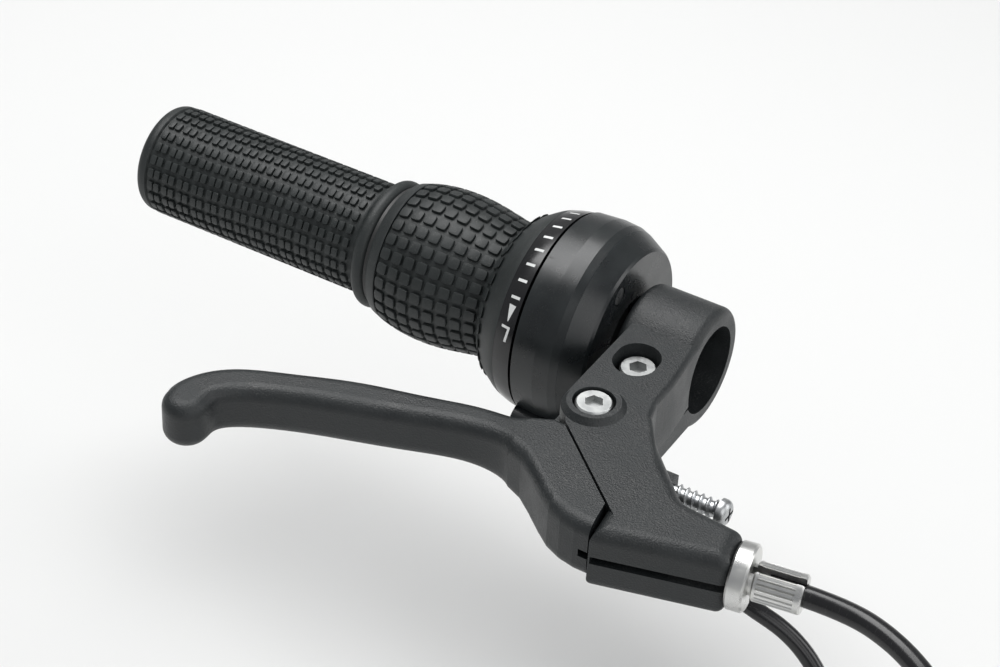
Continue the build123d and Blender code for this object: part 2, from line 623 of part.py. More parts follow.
# ======================================================================================
# Lever, wire and screws
# ======================================================================================
# (rear, front) corners in plan, underside, top and the rounding of the rear edges
HEAD_SECTIONS = [
    ((-21.0, 66.0), (-21.5, 77.1), 0.6), ((-17.0, 63.6), (-15.7, 77.1), 0.6),
    ((-12.5, 60.3), (-11.7, 76.3), 0.6), ((-8.2, 56.5), (-7.8, 74.6), 0.6),
    ((-4.2, 53.0), (-4.0, 71.7), 0.6), ((0.8, 50.0), (1.2, 67.3), 0.8),
    ((5.0, 49.2), (5.2, 64.2), 1.6), ((9.6, 50.5), (9.4, 62.4), 2.6),
]
BLADE = [(17, 56.2, 4.4), (27, 57.6, 4.5), (39.5, 61.7, 4.9), (55, 67.0, 5.0), (68, 72.6, 4.9),
         (75.2, 77.0, 5.0), (78.6, 81.5, 5.2)]
TIP_CENTRE = (79.3, 87.0)
TIP_R = 5.5


def anchor_point():
    angle = radians(ANCHOR_ANGLE)
    return ANCHOR_ARM * cos(angle), PIVOT_Y + ANCHOR_ARM * sin(angle)


def blade_edge_points():
    """Rear and front points of the blade in plan, offset from its middle line."""
    pairs = []
    line = BLADE + [(*TIP_CENTRE, TIP_R)]
    for i, (x, y, half) in enumerate(BLADE):
        x0, y0, _ = line[max(i - 1, 0)]
        x1, y1, _ = line[i + 1]
        long = ((x1 - x0) ** 2 + (y1 - y0) ** 2) ** 0.5
        nx, ny = -(y1 - y0) / long, (x1 - x0) / long
        pairs.append(((x - nx * half, y - ny * half), (x + nx * half, y + ny * half)))
    return pairs


def lever_section(rear, front, low, high, rear_round):
    """Upright slice of the lever, rounded more at the front than at the seam."""
    across = Vector(front[0] - rear[0], front[1] - rear[1], 0)
    plane = Plane(origin=(*rear, 0), x_dir=across, z_dir=across.cross(Vector(0, 0, 1)))
    corners = [(0, low), (across.length, low), (across.length, high), (0, high)]
    rounds = [rear_round, BLADE_ROUND, BLADE_ROUND, rear_round]
    return plane * make_face(FilletPolyline(*corners, radius=rounds, close=True))


def neck_slice():
    """The slice that the lever's head and its blade share."""
    rear, front, rear_round = HEAD_SECTIONS[-1]
    return lever_section(rear, front, LEVER_LOW + 0.1, TOP - 0.3, rear_round)


def lever_arm():
    """Blade lofted through upright slices, closed by half a ball."""
    slices = [neck_slice()]
    for i, (rear, front) in enumerate(blade_edge_points()):
        high = BLADE_HIGH + (0.7 if i == 0 else 0.0)
        slices.append(lever_section(rear, front, BLADE_LOW, high, BLADE_ROUND))
    tip_x, tip_y = TIP_CENTRE
    slices.append(lever_section((tip_x + TIP_R, tip_y), (tip_x - TIP_R, tip_y),
                                BLADE_LOW, BLADE_HIGH, BLADE_ROUND))
    half = Plane.XZ * FilletPolyline((0, BLADE_LOW), (TIP_R, BLADE_LOW), (TIP_R, BLADE_HIGH),
                                     (0, BLADE_HIGH), radius=[BLADE_ROUND] * 2)
    closing = Plane.XZ * Line((0, BLADE_HIGH), (0, BLADE_LOW))
    half_ball = revolve(make_face(Wire([*half.edges(), closing])), Axis.Z, revolution_arc=180)
    return loft(slices) + Pos(tip_x, tip_y, 0) * half_ball


def seam_side():
    """Everything on the bracket's side of the seam."""
    gap = PART_GAP
    line = [(SEAM[2][0] + gap, SEAM[2][1] + 5), (SEAM[2][0] + gap + 0.3, SEAM[2][1] - 3),
            (SEAM[1][0] + gap, SEAM[1][1] + 0.35), (SEAM[0][0] + gap, SEAM[0][1] + 0.35),
            (SEAM[0][0] + 4, SEAM[0][1] - 1.5)]
    return prism([*line, (SEAM[0][0] + 4, 30), (-60, 30), (-60, SEAM[2][1] + 5)], -20, 40)


def lever_head():
    """Head with the root that turns in the fork, the drum's bore and the wire's slot."""
    slices = [lever_section(rear, front, LEVER_LOW, TOP, rear_round)
              for rear, front, rear_round in HEAD_SECTIONS[:-1]]
    body = loft([*slices, neck_slice()], ruled=True) - seam_side()

    low, high = FORK_BOTTOM + ROOT_GAP, FORK_TOP - ROOT_GAP
    edge_x = REACH_TIP + ROOT_GAP
    stop_y = REACH_Y + REACH_R - 0.25
    body += prism([(edge_x, PIVOT_Y), (edge_x, stop_y), *ROOT_OUTLINE, (ROOT_R, PIVOT_Y)], low, high)
    body += upright(0, PIVOT_Y, low, high, ROOT_R)
    body -= upright(0, PIVOT_Y, low - 1, high + 1, BUSH_R + 0.03)
    spring_top = spring_level(SPRING_TURNS - 1) + SPRING_WIRE_R + ROOT_GAP
    body -= upright(0, PIVOT_Y, low - 1, spring_top, SPRING_POCKET_R)
    body -= prism(fan((0, PIVOT_Y), 14, (195, 230, 265)), low - 1, spring_top)
    groove = SPRING_WIRE_R + 0.25
    body -= block((-SPRING_R - groove, PIVOT_Y, low - 1),
                  (-SPRING_R + groove, PIVOT_Y + SPRING_LEG + 0.4, spring_level(0) + groove))

    x, y = anchor_point()
    body -= upright(x, y, LEVER_LOW - 1, LEVEL + ANCHOR_HALF, ANCHOR_R + 0.03)
    return body - prism(fan((x, y), 24, (229, 190, 160, 135)), WIRE_SLOT_LOW, WIRE_SLOT_HIGH)


def fan(centre, reach, angles):
    """Plan of a wedge: a centre and the ends of its rays."""
    x, y = centre
    return [centre] + [(x + reach * cos(radians(a)), y + reach * sin(radians(a))) for a in angles]


def lever_blade():
    """Moulded lever: root in the fork, cable block, blade and ball end."""
    arm, pockets = lever_arm(), blade_pockets()
    return lever_head() + arm - pockets


def blade_pockets():
    """Hollows under the blade, with ribs left between them."""
    wall = 2.3
    pockets = None
    for a, b in zip(BLADE[1:], BLADE[2:5]):
        ax, ay = a[0] + RIB, a[1] + RIB * 0.35
        bx, by = b[0] - RIB, b[1] - RIB * 0.35
        pocket = prism([(ax, ay - a[2] + wall), (bx, by - b[2] + wall), (bx, by + b[2] - wall),
                        (ax, ay + a[2] - wall)], BLADE_LOW - 1, BLADE_LOW + RIB_POCKET)
        pockets = pocket if pockets is None else pockets + pocket
    return pockets


def cable_anchor():
    """Drum that holds the wire's nipple and turns in the lever."""
    x, y = anchor_point()
    drum = upright(x, y, LEVEL - ANCHOR_HALF, LEVEL + ANCHOR_HALF - SEAT, ANCHOR_R)
    return drum - rod((x, y, LEVEL), AXIS_OUT, ANCHOR_BORE_R, 10)


def brake_wire():
    """Inner wire from the drum to the mouth of the outer."""
    x, y = anchor_point()
    start = Vector(x, y, LEVEL) + AXIS_OUT * 0.6
    seat = axis_point(0)
    offset = (start - seat).dot(AXIS_SIDE)
    start = start - AXIS_SIDE * offset
    end = axis_point(OUTER_SEAT - 0.3)
    return rod(start, AXIS_OUT, BRAKE_WIRE_R, (end - start).length)


def reach_screw():
    """Self-tapping screw whose tip stops the lever."""
    screw = along_x(REACH_UNDER_HEAD, REACH_TIP, REACH_Y, LEVEL, REACH_R)
    head = along_x(REACH_UNDER_HEAD - REACH_HEAD, REACH_UNDER_HEAD, REACH_Y, LEVEL, REACH_HEAD_R)
    outer_rim = head.edges().filter_by(GeomType.CIRCLE).sort_by(Axis.X)[0]
    head = fillet(outer_rim, 1.6)
    slot = REACH_UNDER_HEAD - REACH_HEAD
    for half_y, half_z in ((2.0, 0.4), (0.4, 2.0)):
        head -= block((slot - 1, REACH_Y - half_y, LEVEL - half_z),
                      (slot + 1.2, REACH_Y + half_y, LEVEL + half_z))
    return screw + head


# ======================================================================================
# Barrel adjuster, modelled along its own Z and set on its axis
# ======================================================================================
SLOT_TURN = radians(11.5)    # the slot faces up and a little forward
SLOT_WAY = Vector(0, 0, 1) * cos(SLOT_TURN) - AXIS_SIDE * sin(SLOT_TURN)
AXIS_PLANE = Plane(origin=SEAT_POINT, x_dir=SLOT_WAY, z_dir=AXIS_OUT)
KNURL_START = RING_HIGH + NECK_LONG
BARREL_OUT = KNURL_START + KNURL_LONG
OUTER_SEAT = BARREL_OUT - SOCKET_DEEP


def lock_ring():
    """Slotted ring nut that locks the barrel against the nose."""
    bottom = (Align.CENTER, Align.CENTER, Align.MIN)
    ring = Pos(0, 0, SEAT) * Cylinder(LOCK_R, RING_HIGH - SEAT, align=bottom)
    ring = chamfer(ring.edges().filter_by(GeomType.CIRCLE), 0.5)
    ring -= Cylinder(THREAD_R + 0.03, 40)
    ring -= block((-2 * LOCK_R, -ADJUSTER_SLOT / 2, -1), (0, ADJUSTER_SLOT / 2, RING_HIGH + 1))
    return AXIS_PLANE.location * ring


def barrel_adjuster():
    """Slotted hollow screw with a knurled grip and a socket for the outer."""
    bottom = (Align.CENTER, Align.CENTER, Align.MIN)
    barrel = Pos(0, 0, -THREAD_IN) * Cylinder(THREAD_R, THREAD_IN + KNURL_START, align=bottom)
    knob = Pos(0, 0, KNURL_START) * Cylinder(KNURL_R, KNURL_LONG, align=bottom)
    knob = chamfer(knob.edges().filter_by(GeomType.CIRCLE), 0.4)
    depth, half = 0.45, 0.42
    groove = prism([(KNURL_R - depth, 0), (KNURL_R + 0.2, -half), (KNURL_R + 0.2, half)],
                   KNURL_START + 1.0, BARREL_OUT - 1.6)
    knob -= [Rot(Z=i * 360 / KNURL_COUNT) * groove for i in range(KNURL_COUNT)]
    barrel += knob
    barrel -= Pos(0, 0, OUTER_SEAT) * Cylinder(BRAKE_OUTER_R + SEAT, SOCKET_DEEP + 1, align=bottom)
    barrel -= Cylinder(WIRE_BORE_R, 60)
    slot = ADJUSTER_SLOT / 2
    barrel -= block((0, -slot, -THREAD_IN - 1), (2 * KNURL_R, slot, BARREL_OUT + 1))
    return AXIS_PLANE.location * barrel


# ======================================================================================
# Cable outers: a free stretch, a hanging coil and a ferrule each
# ======================================================================================
BRAKE_ROUTE = [axis_point(OUTER_SEAT + SEAT), axis_point(24.0), Vector(-86.5, 64.3, 4.25),
               Vector(-99.6, 71.6, 2.0), Vector(-110.8, 77.9, -6.7), Vector(-117.5, 81.7, -20.1),
               Vector(-118.8, 82.4, -35.5), Vector(-118.9, 82.5, -48.0)]
BRAKE_COIL_R = 27.5
NOSE_AXIS_Z = wire_exit()[1].Z
SHIFT_ROUTE = [Vector(FERRULE_IN - 1.0, NOSE_Y, NOSE_AXIS_Z), Vector(0.5, NOSE_Y, NOSE_AXIS_Z),
               Vector(-14.5, 30.0, -18.8), Vector(-29.0, 42.5, -18.5), Vector(-43.5, 47.2, -19.3),
               Vector(-57.5, 44.8, -25.5), Vector(-67.5, 45.8, -37.0), Vector(-71.5, 47.5, -51.5),
               Vector(-72.0, 48.0, -63.0)]
SHIFT_COIL_R = 23.0
COIL_BUNDLE = 2.155          # a bundle of three round strands, in strand radii


def cord_tube(name, route, radius):
    """Straight runs joined by arcs as large as the runs allow."""
    bends = []
    for before, here, after in zip(route, route[1:], route[2:]):
        run_in, run_out = here - before, after - here
        turn = radians(run_in.get_angle(run_out))
        bends.append(0.45 * min(run_in.length, run_out.length) / tan(turn / 2))
    path = FilletPolyline(*route, radius=bends)
    tube = sweep(Plane(origin=route[0], z_dir=route[1] - route[0]) * Circle(radius), path)
    print(name, "bend radii", [round(bend, 1) for bend in bends], "length", round(path.length, 1),
          "volume against section x length", round(tube.volume / (pi * radius ** 2 * path.length), 4))
    return tube


def cord_coil(route, coil_r, radius):
    """Outer shape of the neat coil that the tube runs down into."""
    end = route[-1]
    ring = Torus(coil_r, COIL_BUNDLE * radius)
    return Pos(end.X, end.Y + coil_r, end.Z) * Rot(Y=90) * ring


def cord_ferrule(route, coil_r, radius, long):
    """Ferrule on the outer's far end, where the last turn leaves the coil's foot."""
    end = route[-1]
    start = Vector(end.X, end.Y + coil_r, end.Z - coil_r - radius)
    return rod(start, (0, 1, 0), radius + 0.45, long)


def brake_outer():
    return cord_tube("brake_outer", BRAKE_ROUTE, BRAKE_OUTER_R)


def brake_coil():
    return cord_coil(BRAKE_ROUTE, BRAKE_COIL_R, BRAKE_OUTER_R)


def brake_end_ferrule():
    return cord_ferrule(BRAKE_ROUTE, BRAKE_COIL_R, BRAKE_OUTER_R, 14.0)


def shift_ferrule():
    """Ferrule between the nose's socket and the shift outer."""
    start = FERRULE_IN - SEAT - SHIFT_FERRULE_LENGTH
    ferrule = along_x(start, FERRULE_IN - SEAT, NOSE_Y, NOSE_AXIS_Z, SHIFT_FERRULE_R)
    ferrule -= along_x(start - 1, FERRULE_IN - 1.0 + SEAT, NOSE_Y, NOSE_AXIS_Z, SHIFT_OUTER_R + SEAT)
    return ferrule - along_x(start, FERRULE_IN + 1, NOSE_Y, NOSE_AXIS_Z, SHIFT_WIRE_R + 0.3)


def shift_outer():
    return cord_tube("shift_outer", SHIFT_ROUTE, SHIFT_OUTER_R)


def shift_coil():
    return cord_coil(SHIFT_ROUTE, SHIFT_COIL_R, SHIFT_OUTER_R)


def shift_end_ferrule():
    return cord_ferrule(SHIFT_ROUTE, SHIFT_COIL_R, SHIFT_OUTER_R, 12.0)


BUILD = [fixed_grip, grip_washer, twist_rubber, indicator_ring, twist_sleeve, shift_nipple,
         shift_wire_wrap, shift_wire_run, shifter_housing, housing_cap, cap_screws, grub_screw,
         detent_spring, cable_guide, shift_ferrule, shift_outer, shift_coil, shift_end_ferrule,
         lever_bracket, clamp_bolt, clamp_nut, pivot_bolt, pivot_nut, pivot_bush, return_spring,
         lever_blade, cable_anchor, brake_wire, reach_screw, lock_ring, barrel_adjuster,
         brake_outer, brake_coil, brake_end_ferrule]

if __name__ == "__main__":
    for piece in BUILD:
        solid = piece()
        export_step(solid, f"parts/{piece.__name__}.step")
        print(piece.__name__, len(solid.solids()), round(solid.volume, 1))
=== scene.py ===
# %% [markdown]
# # A bar control: rubber grip, twist shifter and brake lever
#
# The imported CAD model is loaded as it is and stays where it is. This lesson dresses it: the
# two cable outers get smooth curves of their real length, the rubber gets its studs, the ring
# its scale, the screw its thread, and every piece gets a material built from nodes.

import math

import bmesh
import bpy
from mathutils import Matrix, Vector
from mathutils.bvhtree import BVHTree


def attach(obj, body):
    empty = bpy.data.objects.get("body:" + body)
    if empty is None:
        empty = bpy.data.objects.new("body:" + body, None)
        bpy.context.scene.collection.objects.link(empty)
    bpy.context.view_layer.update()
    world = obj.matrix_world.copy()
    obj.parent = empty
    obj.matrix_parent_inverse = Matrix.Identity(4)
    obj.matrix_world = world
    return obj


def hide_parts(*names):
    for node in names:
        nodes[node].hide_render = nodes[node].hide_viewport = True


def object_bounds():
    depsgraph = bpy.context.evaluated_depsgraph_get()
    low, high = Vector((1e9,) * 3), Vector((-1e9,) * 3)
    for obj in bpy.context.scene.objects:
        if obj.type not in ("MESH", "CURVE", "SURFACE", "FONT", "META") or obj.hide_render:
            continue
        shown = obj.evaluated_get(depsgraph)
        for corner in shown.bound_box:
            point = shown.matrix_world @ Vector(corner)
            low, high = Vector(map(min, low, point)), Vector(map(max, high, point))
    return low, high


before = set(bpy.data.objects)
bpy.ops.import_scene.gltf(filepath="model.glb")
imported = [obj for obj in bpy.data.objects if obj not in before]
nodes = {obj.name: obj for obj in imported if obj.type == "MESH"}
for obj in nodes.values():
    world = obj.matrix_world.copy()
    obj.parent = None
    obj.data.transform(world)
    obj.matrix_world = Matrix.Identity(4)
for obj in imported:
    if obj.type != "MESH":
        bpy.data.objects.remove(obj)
cad_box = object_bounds()
MM = 0.001
print("CAD box in mm:", [[round(v / MM, 1) for v in corner] for corner in cad_box])

# %% [markdown]
# ## Camera
#
# The bar runs along X and the lever lies towards +Y. The view comes from the front, a little
# inboard and well above, through a long lens, so the grip points away to the left. The
# camera could be placed by hand and turned until it looks right. Here it is set by its
# bearing, its elevation and a small roll about a point near the shifter, because three
# angles are easy to read and to change.

# %% Camera
BEARING, ELEVATION, ROLL = (math.radians(a) for a in (28.93, 37.52, 3.39))
AIM = Vector((39.0, 15.9, 0.0)) * MM
DISTANCE = 608 * MM
LENS = 91.0
NEAREST = 0.05                                # nothing closer than this is drawn, in metres

right = Vector((-math.cos(BEARING), -math.sin(BEARING), 0))
level = Vector((-math.sin(BEARING), math.cos(BEARING), 0))
up = Vector((0, 0, math.cos(ELEVATION))) - level * math.sin(ELEVATION)
backward = Vector((0, 0, math.sin(ELEVATION))) + level * math.cos(ELEVATION)
cam_x = right * math.cos(ROLL) + up * math.sin(ROLL)
cam_y = up * math.cos(ROLL) - right * math.sin(ROLL)

camera = bpy.data.objects.new("camera", bpy.data.cameras.new("camera"))
camera.data.lens = LENS
camera.data.clip_start = NEAREST
turn = Matrix((cam_x, cam_y, backward)).transposed().to_4x4()
camera.matrix_world = Matrix.Translation(AIM + backward * DISTANCE) @ turn
bpy.context.scene.collection.objects.link(camera)
bpy.context.scene.camera = camera
print("camera at", [round(v, 3) for v in camera.matrix_world.translation])

# %% [markdown]
# ## Cable outers
#
# Each outer is a fixed length of springy tube. It leaves its fitting straight, bends down
# under its own weight, and the spare length hangs in a neat coil under it. A sweep along
# straight runs and arcs would look like bent wire. One NURBS spline makes it all smooth:
# given points for the free stretch, then a loop that walks round the coil. The strands of
# a coil lie in a triangle, so the point also turns round the bundle's middle as it goes.

# %% Points of a hanging coil
COIL_POINTS = 16                              # control points to a turn
COIL_TURNS = 2.25
BUNDLE = 1.19                                 # strand centres from the bundle's middle, in radii
CUTS_IN = (3 + math.cos(2 * math.pi / COIL_POINTS)) / 4     # the spline runs inside its points


def coil_points(end, coil_r, radius):
    """Control points of a hanging coil entered from above at end."""
    points = []
    bundle = BUNDLE * radius
    for i in range(1, round(COIL_TURNS * COIL_POINTS) + 1):
        done = i / COIL_POINTS
        way = math.pi + 2 * math.pi * done
        twist = 2 * math.pi / 3 * (done - COIL_TURNS)
        ring = (coil_r + bundle * math.cos(twist)) / CUTS_IN
        points.append((end[0] - bundle * math.sin(twist),
                       end[1] + coil_r + ring * math.cos(way),
                       end[2] + ring * math.sin(way)))
    return points


print("points in a coil:", round(COIL_TURNS * COIL_POINTS))

# %% [markdown]
# Blender pads a curve's box by the radius of its points, which is 1 m unless it is changed.
# So the points get a small radius, and the bevel that they scale is made larger to match.

# %% A round tube on a spline
POINT_RADIUS = 0.001


def cord_curve(name, points, radius):
    """A round NURBS tube through control points given in millimetres."""
    curve = bpy.data.curves.new(name, "CURVE")
    curve.dimensions = "3D"
    curve.bevel_depth = radius * MM / POINT_RADIUS
    curve.bevel_resolution = 5
    curve.use_fill_caps = True
    spline = curve.splines.new("NURBS")
    spline.points.add(len(points) - 1)
    for target, (x, y, z) in zip(spline.points, points):
        target.co = (x * MM, y * MM, z * MM, 1)
        target.radius = POINT_RADIUS
    spline.order_u = 3
    spline.use_endpoint_u = True
    spline.resolution_u = 8
    obj = bpy.data.objects.new(name, curve)
    bpy.context.scene.collection.objects.link(obj)
    return obj


# %% [markdown]
# The brake outer sits in the barrel adjuster, whose axis is tilted a little from the bar's.

# %% Brake outer
TILT = math.radians(9.0)
SEAT_POINT = (-48.0, 64.4, 4.25)              # where the lock ring meets the bracket
SOCKET_FLOOR = 7.95                           # places along the axis, from the seat point
FIRST_BEND = 24.0
BRAKE_R, BRAKE_COIL_R, BRAKE_TAIL = 2.5, 27.5, 8


def on_axis(along):
    return (SEAT_POINT[0] - along * math.cos(TILT),
            SEAT_POINT[1] - along * math.sin(TILT), SEAT_POINT[2])


brake_route = [on_axis(SOCKET_FLOOR), on_axis(FIRST_BEND), (-86.5, 64.3, 4.25),
               (-99.6, 71.6, 2.0), (-110.8, 77.9, -6.7), (-117.5, 81.7, -20.1),
               (-118.8, 82.4, -35.5), (-118.9, 82.5, -48.0)]
brake_coil = coil_points(brake_route[-1], BRAKE_COIL_R, BRAKE_R)
brake_tail = [(brake_coil[-1][0], brake_coil[-1][1] + BRAKE_TAIL, brake_coil[-1][2])]
brake_cord = cord_curve("brake_cord", brake_route + brake_coil + brake_tail, BRAKE_R)
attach(brake_cord, "cable")
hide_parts("brake_outer", "brake_coil")
print("brake cord points:", len(brake_cord.data.splines[0].points))

# %% [markdown]
# The shift outer is thinner. It leaves the shifter's nose along the bar, under the bracket.

# %% Shift outer
SHIFT_R, SHIFT_COIL_R, SHIFT_TAIL = 2.1, 23.0, 7
NOSE_Y, NOSE_Z = 20.5, -19.52
shift_route = [(16.8, NOSE_Y, NOSE_Z), (0.5, NOSE_Y, NOSE_Z), (-14.5, 30.0, -18.8),
               (-29.0, 42.5, -18.5), (-43.5, 47.2, -19.3), (-57.5, 44.8, -25.5),
               (-67.5, 45.8, -37.0), (-71.5, 47.5, -51.5), (-72.0, 48.0, -63.0)]
shift_coil = coil_points(shift_route[-1], SHIFT_COIL_R, SHIFT_R)
shift_tail = [(shift_coil[-1][0], shift_coil[-1][1] + SHIFT_TAIL, shift_coil[-1][2])]
shift_cord = cord_curve("shift_cord", shift_route + shift_coil + shift_tail, SHIFT_R)
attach(shift_cord, "root")
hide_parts("shift_outer", "shift_coil")
print("shift cord points:", len(shift_cord.data.splines[0].points))

# %% [markdown]
# ## Shader helpers
#
# A material is a small graph of nodes. Linking each one by hand hides what the graph does.
# These helpers add one node, set it and fill or link its inputs, so that each graph below
# reads like a recipe.

# %% Add a node


def fill(tree, socket, value):
    """Gives an input a value, or links it to another node's output."""
    if isinstance(value, bpy.types.NodeSocket):
        tree.links.new(value, socket)
    else:
        socket.default_value = value


def put(tree, kind, inputs=None, **settings):
    node = tree.nodes.new(kind)
    for key, value in settings.items():
        setattr(node, key, value)
    for name, value in (inputs or {}).items():
        fill(tree, node.inputs[name], value)
    return node


def calc(tree, operation, first, second=0.0):
    node = put(tree, "ShaderNodeMath", operation=operation)
    fill(tree, node.inputs[0], first)
    fill(tree, node.inputs[1], second)
    return node.outputs[0]


def ramp(tree, value, low, high, to_low=0.0, to_high=1.0):
    """Maps low..high of a value to to_low..to_high, clamped."""
    return put(tree, "ShaderNodeMapRange", {"Value": value, "From Min": low, "From Max": high,
                                            "To Min": to_low, "To Max": to_high}).outputs[0]


# %% Mix colours, and measure along a direction


def blend_colours(tree, share, first, second):
    node = put(tree, "ShaderNodeMix", data_type="RGBA")
    for index, value in ((0, share), (6, first), (7, second)):    # the sockets that colours use
        fill(tree, node.inputs[index], value)
    return node.outputs[2]


def distance_along(tree, where, direction):
    node = put(tree, "ShaderNodeVectorMath", {0: where}, operation="DOT_PRODUCT")
    node.inputs[1].default_value = direction
    return node.outputs["Value"]


def opaque(rgb):
    return (*rgb, 1.0)


# %% Start a node group
FLOAT, VECTOR = "NodeSocketFloat", "NodeSocketVector"


def new_group(name, inputs, outputs):
    """A node group: itself, its object coordinates, what it is given, what it gives."""
    group = bpy.data.node_groups.new(name, "ShaderNodeTree")
    for label, kind, value in inputs:
        group.interface.new_socket(label, in_out="INPUT", socket_type=kind).default_value = value
    for label in outputs:
        group.interface.new_socket(label, in_out="OUTPUT", socket_type=FLOAT)
    where = put(group, "ShaderNodeTexCoord").outputs["Object"]
    given = group.nodes.new("NodeGroupInput").outputs
    return group, where, given, group.nodes.new("NodeGroupOutput").inputs


# %% [markdown]
# ## Moulded grain
#
# Spark-eroded moulds leave a fine sandy skin on plastic and rubber: tiny round pits of uneven
# depth, with slow cloudy patches where the skin is shinier. One noise alone looks like fog, so
# a fine noise and a cell pattern make the pits, and a slow noise makes the patches. Every
# moulding uses the group, each at its own size of grain.

# %% Grain group
PER_METRE = 1000.0                            # turns a size in mm into a texture scale
grain_group, where, given, result = new_group(
    "moulded_grain", [("Size", FLOAT, 0.4), ("Cloud", FLOAT, 8.0)], ["Height", "Tone"])
pit_scale = calc(grain_group, "DIVIDE", PER_METRE, given["Size"])
cloud_scale = calc(grain_group, "DIVIDE", PER_METRE, given["Cloud"])
pits = put(grain_group, "ShaderNodeTexNoise",
           {"Vector": where, "Scale": pit_scale, "Detail": 2.0, "Roughness": 0.6})
cells = put(grain_group, "ShaderNodeTexVoronoi", {"Vector": where, "Scale": pit_scale})
clouds = put(grain_group, "ShaderNodeTexNoise",
             {"Vector": where, "Scale": cloud_scale, "Detail": 4.0})
height = calc(grain_group, "ADD", ramp(grain_group, pits.outputs[0], low=0.3, high=0.7),
              calc(grain_group, "MULTIPLY", cells.outputs["Distance"], 0.6))
fill(grain_group, result["Height"], height)
fill(grain_group, result["Tone"], ramp(grain_group, clouds.outputs[0], low=0.35, high=0.65))
print("group:", grain_group.name)

# %% [markdown]
# ## Edge wear
#
# Hands and tools polish the edges of plastic and rub the plating from screw heads. Painting
# each edge would take a mask for every piece. The Bevel node finds edges by itself: it gives
# the normal that a rounded edge would have, and where the cosine between it and the true
# normal falls, there is an edge. A noise breaks the line up so that it doesn't look drawn.

# %% Edge wear group
wear_group, where, given, result = new_group(
    "edge_wear", [("Width", FLOAT, 0.0005), ("Patchiness", FLOAT, 0.5)], ["Mask"])
rounded = put(wear_group, "ShaderNodeBevel", {"Radius": given["Width"]}, samples=6)
true_normal = put(wear_group, "ShaderNodeNewGeometry").outputs["Normal"]
cosine = put(wear_group, "ShaderNodeVectorMath", {0: rounded.outputs[0], 1: true_normal},
             operation="DOT_PRODUCT").outputs["Value"]
edge = ramp(wear_group, cosine, low=0.995, high=0.80)
broken = put(wear_group, "ShaderNodeTexNoise", {"Vector": where, "Scale": 900.0, "Detail": 3.0})
gate = ramp(wear_group, broken.outputs[0], low=0.30, high=0.62)
missing = calc(wear_group, "MULTIPLY", given["Patchiness"],
               calc(wear_group, "SUBTRACT", 1.0, gate))
patchy = calc(wear_group, "SUBTRACT", 1.0, missing)
fill(wear_group, result["Mask"], calc(wear_group, "MULTIPLY", edge, patchy))
print("group:", wear_group.name)

# %% [markdown]
# ## Settled dust
#
# Dust lies on what faces up, in loose specks, thicker in some places than in others. So a fine
# noise kept at its peaks is multiplied by a slow one and by how far the surface faces up.

# %% Dust group
dust_group, where, given, result = new_group("settled_dust", [("Amount", FLOAT, 0.3)], ["Mask"])
facing = put(dust_group, "ShaderNodeSeparateXYZ",
             {"Vector": put(dust_group, "ShaderNodeNewGeometry").outputs["Normal"]})
upward = ramp(dust_group, facing.outputs["Z"], low=0.2, high=0.95)
specks = put(dust_group, "ShaderNodeTexNoise",
             {"Vector": where, "Scale": 2600.0, "Detail": 2.0, "Roughness": 0.7})
film = put(dust_group, "ShaderNodeTexNoise", {"Vector": where, "Scale": 130.0, "Detail": 4.0})
speckle = calc(dust_group, "MULTIPLY", ramp(dust_group, specks.outputs[0], low=0.58, high=0.72),
               ramp(dust_group, film.outputs[0], low=0.35, high=0.7))
fill(dust_group, result["Mask"],
     calc(dust_group, "MULTIPLY", calc(dust_group, "MULTIPLY", speckle, upward),
          given["Amount"]))
print("group:", dust_group.name)

# %% [markdown]
# ## Fine scratches
#
# Scratches are long and thin. The same noise, squeezed many times across one axis and kept only
# at its peaks, gives them without drawing each line.

# %% Scratch group
scratch_group, where, given, result = new_group(
    "fine_scratches", [("Stretch", VECTOR, (1, 12, 12)), ("Scale", FLOAT, 500.0)], ["Mask"])
pulled = put(scratch_group, "ShaderNodeMapping", {"Vector": where, "Scale": given["Stretch"]})
lines = put(scratch_group, "ShaderNodeTexNoise",
            {"Vector": pulled.outputs[0], "Scale": given["Scale"], "Detail": 5.0})
fill(scratch_group, result["Mask"],
     ramp(scratch_group, lines.outputs[0], low=0.60, high=0.68))
print("group:", scratch_group.name)

# %% [markdown]
# ## The plastics and rubbers
#
# All the mouldings are black, and differ by skin. The grip rubber is matt with a slight
# grey-green cast. The bracket and lever are glass-filled nylon with a coarse sandy skin. The
# housing is smooth and satin, and the ring is polished. One function with a few named values
# makes them all, so that they look like one family.

# %% Start a material


def use_group(tree, group, **values):
    return put(tree, "ShaderNodeGroup", values, node_tree=group).outputs


def start_material(name):
    material = bpy.data.materials.new(name)
    material.use_nodes = True
    tree = material.node_tree
    return material, tree, tree.nodes["Principled BSDF"]


def add_relief(tree, skin, height, strength, depth):
    """Bump of so many metres' depth, on the shader's normal."""
    relief = put(tree, "ShaderNodeBump", {"Height": height, "Strength": strength,
                                          "Distance": depth})
    fill(tree, skin.inputs["Normal"], relief.outputs[0])


# %% A moulded material
DUST = (0.30, 0.29, 0.27)
EDGE_PALER = 2.4                              # rubbed edges against the paler patches
EDGE_GLOSS = 0.12                             # roughness that rubbing takes off


